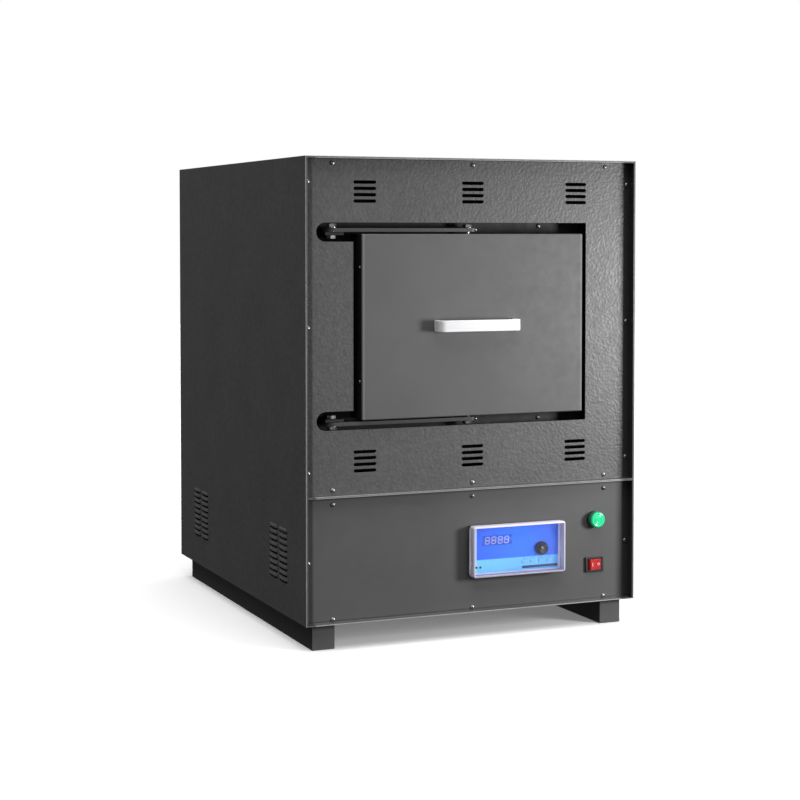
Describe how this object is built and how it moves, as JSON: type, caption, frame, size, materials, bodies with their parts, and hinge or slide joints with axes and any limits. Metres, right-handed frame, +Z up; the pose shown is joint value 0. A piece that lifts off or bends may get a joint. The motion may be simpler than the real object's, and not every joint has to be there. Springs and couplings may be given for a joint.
{
  "type": "front-loading electric chamber kiln",
  "caption": "Benchtop electric chamber kiln: steel cabinet on skids, fibre-lined chamber, side-hinged plug door with pull handle, controller with clear cover, pilot lamp and rocker switch.",
  "frame": {"origin": "on the floor under the middle of the cabinet, at the underside of the skids", "axes": "+Z up, +X to the right as seen from the front, -Y out of the door front"},
  "size_m": [0.558, 0.708, 0.74],
  "materials": {
    "casing_paint": "satin",
    "door_paint": "satin",
    "black_steel": "satin",
    "zinc_plate": "satin",
    "galvanised_sheet": "satin",
    "fibre_board": "matte",
    "white_ceramic": "satin",
    "silicon_carbide": "matte",
    "resistance_wire": "matte",
    "satin_aluminium": "satin",
    "black_plastic": "satin",
    "blue_label": "satin",
    "display_window": "gloss",
    "clear_cover": "gloss",
    "green_lens": "gloss",
    "red_rocker": "gloss",
    "key_rubber": "matte"
  },
  "bodies": {
    "cabinet": {"outer_wrap": "casing_paint", "upper_fascia": "casing_paint", "lower_fascia": "casing_paint", "rear_panel": "casing_paint", "rear_terminal_cover": "casing_paint", "base_plate": "galvanised_sheet", "mid_deck": "galvanised_sheet", "left_support_rail": "galvanised_sheet", "right_support_rail": "galvanised_sheet", "furnace_shell": "galvanised_sheet", "left_skid": "casing_paint", "right_skid": "casing_paint", "mouth_plate": "black_steel", "upper_hinge_lug": "black_steel", "lower_hinge_lug": "black_steel", "upper_hinge_bolt": "zinc_plate", "lower_hinge_bolt": "zinc_plate", "upper_hinge_nut": "zinc_plate", "lower_hinge_nut": "zinc_plate", "cover_hinge_pin": "zinc_plate", "throat_ring": "fibre_board", "insulation_floor": "fibre_board", "insulation_roof": "fibre_board", "insulation_left": "fibre_board", "insulation_right": "fibre_board", "insulation_rear": "fibre_board", "door_gasket": "fibre_board", "hearth_plate": "silicon_carbide", "heating_element_left": "resistance_wire", "heating_element_right": "resistance_wire", "element_terminals_left": "white_ceramic", "element_terminals_right": "white_ceramic", "thermocouple": "white_ceramic", "heat_sink": "satin_aluminium", "controller_housing": "black_plastic", "lamp_body": "black_plastic", "lamp_nut": "black_plastic", "switch_housing": "black_plastic", "solid_state_relay": "black_plastic", "mains_terminal_block": "black_plastic", "cable_gland": "black_plastic", "controller_faceplate": "blue_label", "display_module": "display_window", "lamp_lens": "green_lens"},
    "door_arms": {"upper_hinge_arm": "casing_paint", "lower_hinge_arm": "casing_paint"},
    "door": {"door_skin": "door_paint", "door_back_plate": "black_steel", "door_insulation": "fibre_board", "door_handle": "satin_aluminium", "upper_door_pivot": "zinc_plate", "lower_door_pivot": "zinc_plate"},
    "controller_cover": {"controller_cover": "clear_cover"},
    "controller_knob": {"controller_knob": "black_plastic"},
    "set_key": {"set_key": "key_rubber"},
    "shift_key": {"shift_key": "key_rubber"},
    "down_key": {"down_key": "key_rubber"},
    "up_key": {"up_key": "key_rubber"},
    "switch_rocker": {"switch_rocker": "red_rocker"}
  },
  "joints": [
    {"name": "door_hinge", "type": "hinge", "parent": "cabinet", "child": "door_arms", "pos_m": [-0.225, -0.3, 0.4845], "axis": [0, 0, -1], "range_deg": [0, 110]},
    {"name": "door_self_align", "type": "hinge", "parent": "door_arms", "child": "door", "pos_m": [0, -0.3, 0.4845], "axis": [0, 0, 1], "range_deg": [-0.5, 0.5]},
    {"name": "cover_hinge", "type": "hinge", "parent": "cabinet", "child": "controller_cover", "pos_m": [-0.007, -0.3273, 0.1335], "axis": [0, 0, -1], "range_deg": [0, 105]},
    {"name": "knob_turn", "type": "hinge", "parent": "cabinet", "child": "controller_knob", "pos_m": [0.116, -0.326, 0.131], "axis": [0, 1, 0], "range_deg": [0, 270]},
    {"name": "power_rocker", "type": "hinge", "parent": "cabinet", "child": "switch_rocker", "pos_m": [0.214, -0.319, 0.0975], "axis": [0, 0, -1], "range_deg": [0, 18]},
    {"name": "set_key_press", "type": "slide", "parent": "cabinet", "child": "set_key", "axis": [0, 1, 0], "range_m": [0, 0.0006], "stiffness_N_per_m": 400},
    {"name": "shift_key_press", "type": "slide", "parent": "cabinet", "child": "shift_key", "axis": [0, 1, 0], "range_m": [0, 0.0006], "stiffness_N_per_m": 400},
    {"name": "down_key_press", "type": "slide", "parent": "cabinet", "child": "down_key", "axis": [0, 1, 0], "range_m": [0, 0.0006], "stiffness_N_per_m": 400},
    {"name": "up_key_press", "type": "slide", "parent": "cabinet", "child": "up_key", "axis": [0, 1, 0], "range_m": [0, 0.0006], "stiffness_N_per_m": 400}
  ]
}
